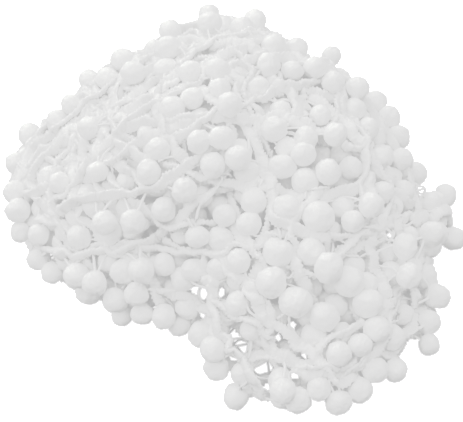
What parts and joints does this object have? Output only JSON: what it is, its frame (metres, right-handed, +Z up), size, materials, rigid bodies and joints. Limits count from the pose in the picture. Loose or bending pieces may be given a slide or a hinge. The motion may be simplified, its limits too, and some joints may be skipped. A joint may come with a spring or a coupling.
{
  "type": "pompom fringe trim",
  "caption": "Loose hank of white pompom fringe trim: a narrow braid with soft yarn balls hung from one edge on paired threads, wound in a low heap.",
  "frame": {"origin": "on the flat base of the heap, near the middle of its outline seen from above", "axes": "+Z up from the base, -Y towards the front of the heap, +X to the right seen from the front"},
  "size_m": [0.1876, 0.1892, 0.0794],
  "materials": {
    "wound_yarn": "matte white cotton yarn, wound",
    "braid": "matte white ribbed braid",
    "pompom_yarn": "matte white clipped yarn pile"
  },
  "bodies": {
    "root": {"wound_trim": "wound_yarn", "heading_front_loop": "braid", "heading_front_upper": "braid", "heading_front_lower": "braid", "heading_right_inner": "braid", "heading_right_outer": "braid", "heading_right_top": "braid", "heading_middle": "braid", "heading_crest": "braid", "heading_left_lower": "braid", "heading_left_upper": "braid", "heading_left_edge": "braid", "heading_back_right": "braid", "heading_far_right": "braid", "fringe_front_loop": "pompom_yarn", "fringe_front_upper": "pompom_yarn", "fringe_front_lower": "pompom_yarn", "fringe_right_inner": "pompom_yarn", "fringe_right_outer": "pompom_yarn", "fringe_right_top": "pompom_yarn", "fringe_middle": "pompom_yarn", "fringe_crest": "pompom_yarn", "fringe_left_lower": "pompom_yarn", "fringe_left_upper": "pompom_yarn", "fringe_left_edge": "pompom_yarn", "fringe_back_right": "pompom_yarn", "fringe_far_right": "pompom_yarn"}
  },
  "joints": []
}
